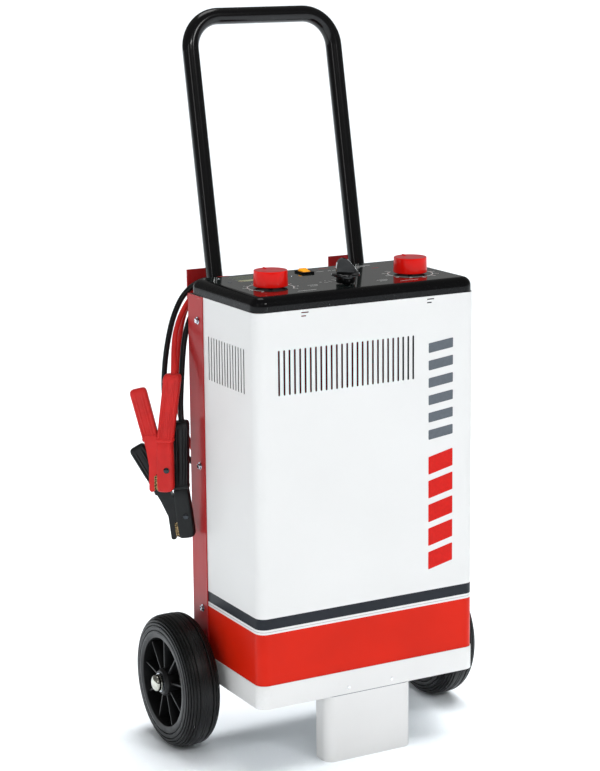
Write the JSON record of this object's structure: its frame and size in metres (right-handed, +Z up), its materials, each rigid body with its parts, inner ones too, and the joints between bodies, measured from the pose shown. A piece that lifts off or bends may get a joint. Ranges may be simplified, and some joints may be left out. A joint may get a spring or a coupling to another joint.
{
  "type": "car battery charger",
  "caption": "Upright wheeled workshop battery charger: vented steel cabinet, control panel on top, tube handle, two wheels, hung red and black clamp leads.",
  "frame": {"origin": "bottom centre of the object's box on the ground, without the hung leads and clamps", "axes": "+Z up, +X to the object's right side seen from the front, +Y towards the back (the handle); the control side faces -Y"},
  "size_m": [0.5458, 0.3372, 1.0905],
  "materials": {
    "white_enamel": "semi-gloss powder coat with painted red and dark bands",
    "red_enamel": "semi-gloss powder coat",
    "black_enamel": "gloss",
    "black_moulding": "gloss",
    "panel_plastic": "gloss with white scale marks",
    "knob_red": "satin",
    "rocker_orange": "gloss, lit",
    "zinc_steel": "zinc plated",
    "tyre_rubber": "matt",
    "rim_plastic": "satin",
    "bush_plastic": "smooth nylon",
    "switch_plastic": "matt",
    "dial_face": "matt printed",
    "window": "clear",
    "needle_paint": "matt",
    "core_steel": "varnished laminations",
    "copper_winding": "enamelled wire",
    "heat_sink_aluminium": "extruded",
    "diode_steel": "nickel",
    "gland_plastic": "matt nylon",
    "red_rubber": "satin",
    "black_rubber": "satin",
    "pivot_steel": "blackened",
    "jaw_copper": "plated teeth"
  },
  "bodies": {
    "cabinet": {"axle": "zinc_steel", "axle_brackets": "zinc_steel", "axle_spacers": "zinc_steel", "axle_washers": "zinc_steel", "base_tray": "white_enamel", "black_clamp_body": "black_rubber", "black_gland": "gland_plastic", "black_lead": "black_rubber", "casing": "white_enamel", "clamp_pivots": "pivot_steel", "clamp_springs": "zinc_steel", "control_panel": "panel_plastic", "diodes": "diode_steel", "fixed_jaws": "jaw_copper", "frame_bolts": "zinc_steel", "front_leg": "white_enamel", "handle_tube": "black_enamel", "heat_sink": "heat_sink_aluminium", "hub_caps": "zinc_steel", "left_cable_hook": "red_enamel", "left_switch": "switch_plastic", "leg_rivets": "white_enamel", "mains_gland": "gland_plastic", "meter_dial": "dial_face", "meter_glass": "window", "meter_housing": "switch_plastic", "panel_screws": "zinc_steel", "primary_coil": "copper_winding", "rear_bolts": "zinc_steel", "rear_panel": "red_enamel", "red_clamp_body": "red_rubber", "red_gland": "gland_plastic", "red_lead": "red_rubber", "right_cable_hook": "red_enamel", "right_switch": "switch_plastic", "rocker_bezel": "black_moulding", "secondary_coil": "copper_winding", "selector_switch": "switch_plastic", "top_cap": "black_moulding", "transformer_core": "core_steel", "transformer_feet": "zinc_steel", "tube_plugs": "rim_plastic"},
    "left_wheel": {"left_tyre": "tyre_rubber", "left_rim": "rim_plastic", "left_wheel_bush": "bush_plastic"},
    "right_wheel": {"right_tyre": "tyre_rubber", "right_rim": "rim_plastic", "right_wheel_bush": "bush_plastic"},
    "left_dial": {"left_knob": "knob_red", "left_shaft": "zinc_steel"},
    "right_dial": {"right_knob": "knob_red", "right_shaft": "zinc_steel"},
    "selector": {"selector_knob": "black_moulding", "selector_shaft": "zinc_steel"},
    "rocker": {"rocker_button": "rocker_orange"},
    "needle": {"meter_needle": "needle_paint"},
    "red_lever": {"red_clamp_lever": "red_rubber", "red_lever_jaw": "jaw_copper"},
    "black_lever": {"black_clamp_lever": "black_rubber", "black_lever_jaw": "jaw_copper"}
  },
  "joints": [
    {"name": "left_wheel_spin", "type": "hinge", "parent": "cabinet", "child": "left_wheel", "pos_m": [-0.224, 0.02118, 0.1], "axis": [1, 0, 0], "continuous": true},
    {"name": "right_wheel_spin", "type": "hinge", "parent": "cabinet", "child": "right_wheel", "pos_m": [0.224, 0.02118, 0.1], "axis": [1, 0, 0], "continuous": true},
    {"name": "charge_knob_turn", "type": "hinge", "parent": "cabinet", "child": "left_dial", "pos_m": [-0.117, -0.08982, 0.706], "axis": [0, 0, -1], "range_deg": [-135, 135]},
    {"name": "timer_knob_turn", "type": "hinge", "parent": "cabinet", "child": "right_dial", "pos_m": [0.117, -0.08982, 0.706], "axis": [0, 0, -1], "range_deg": [0, 300]},
    {"name": "selector_turn", "type": "hinge", "parent": "cabinet", "child": "selector", "pos_m": [-0.008, -0.11532, 0.706], "axis": [0, 0, -1], "range_deg": [-45, 45]},
    {"name": "rocker_tilt", "type": "hinge", "parent": "cabinet", "child": "rocker", "pos_m": [-0.012, 0.00068, 0.7042], "axis": [-1, 0, 0], "range_deg": [0, 24]},
    {"name": "needle_swing", "type": "hinge", "parent": "cabinet", "child": "needle", "pos_m": [-0.0965, -0.01732, 0.698], "axis": [0, 0, -1], "range_deg": [0, 96]},
    {"name": "red_clamp_squeeze", "type": "hinge", "parent": "cabinet", "child": "red_lever", "pos_m": [-0.232, 0.02419, 0.4255], "axis": [0.6157, 0.788, 0], "range_deg": [0, 14], "stiffness_Nm_per_rad": 1.2, "springref_deg": -20.05},
    {"name": "black_clamp_squeeze", "type": "hinge", "parent": "cabinet", "child": "black_lever", "pos_m": [-0.201, 0.02638, 0.3507], "axis": [0.5878, 0.809, 0], "range_deg": [0, 20], "stiffness_Nm_per_rad": 1.2, "springref_deg": -20.05}
  ]
}
